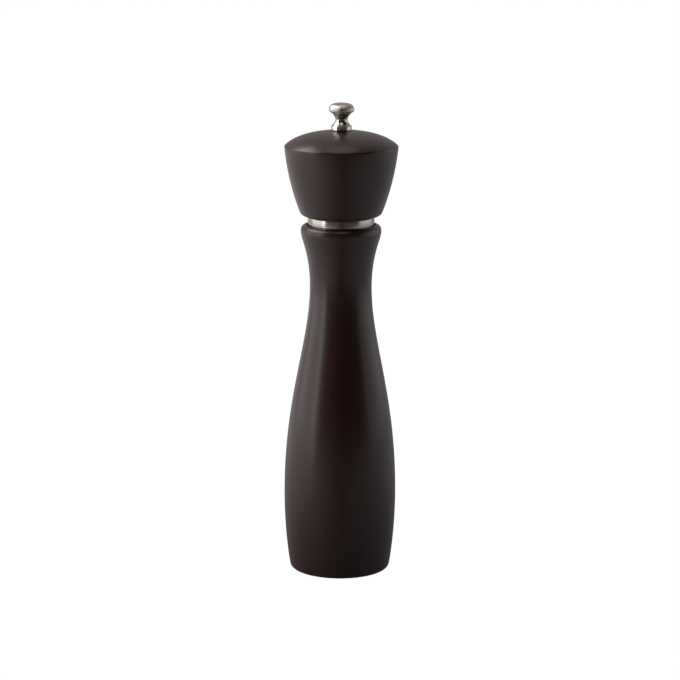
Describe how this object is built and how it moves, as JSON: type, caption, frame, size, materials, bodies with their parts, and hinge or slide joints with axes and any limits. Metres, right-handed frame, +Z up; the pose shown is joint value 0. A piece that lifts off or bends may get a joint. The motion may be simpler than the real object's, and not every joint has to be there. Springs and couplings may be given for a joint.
{
  "type": "pepper mill",
  "caption": "Tall turned wooden pepper mill with a flared domed head, a steel collar ring, a knurled adjusting knob, and a square-shaft burr mechanism in its base.",
  "frame": {"origin": "on the turning axis, at the level the wooden foot stands on", "axes": "+Z up along the turning axis, from the foot to the knob; +X and +Y are square to the flats of the shaft"},
  "size_m": [0.0606, 0.0606, 0.254],
  "materials": {
    "stained_wood": "dark espresso stain under satin lacquer",
    "ring_steel": "brushed around the ring",
    "knob_nickel": "polished nickel with a fine knurl on the head",
    "zinc_steel": "zinc plated",
    "burr_steel": "hardened, dull",
    "cast_aluminium": "fine cast",
    "shaft_aluminium": "drawn bar",
    "spring_steel": "drawn wire",
    "acetal": "natural moulded"
  },
  "bodies": {
    "casing": {"mill_body": "stained_wood", "collar_ring": "ring_steel", "mounting_plate": "zinc_steel", "mounting_screw_1": "zinc_steel", "mounting_screw_2": "zinc_steel", "mounting_screw_3": "zinc_steel", "burr_housing": "cast_aluminium", "stator_burr": "burr_steel"},
    "drive": {"shaft_bush": "acetal", "mechanism_spring": "spring_steel"},
    "spindle": {"drive_shaft": "shaft_aluminium", "rotor_burr": "burr_steel", "rotor_washer": "zinc_steel", "rotor_clip": "spring_steel"},
    "head": {"mill_head": "stained_wood", "drive_plate": "zinc_steel", "drive_plate_screw_1": "zinc_steel", "drive_plate_screw_2": "zinc_steel", "drive_plate_screw_3": "zinc_steel"},
    "knob": {"adjusting_knob": "knob_nickel"}
  },
  "joints": [
    {"name": "mill_turn", "type": "hinge", "parent": "casing", "child": "drive", "pos_m": [0, 0, 0.033], "axis": [0, 0, 1], "continuous": true},
    {"name": "grind_gap", "type": "slide", "parent": "drive", "child": "spindle", "axis": [0, 0, 1], "range_m": [0, 0.0024], "deforming": ["mechanism_spring"]},
    {"name": "head_lift", "type": "slide", "parent": "drive", "child": "head", "axis": [0, 0, 1], "range_m": [0, 0.09]},
    {"name": "knob_turn", "type": "hinge", "parent": "head", "child": "knob", "pos_m": [0, 0, 0.245], "axis": [0, 0, -1], "range_deg": [0, 1080]}
  ],
  "couplings": [
    {"joint": "knob_turn", "follows": "grind_gap", "rad_per_m": 7853.9}
  ]
}
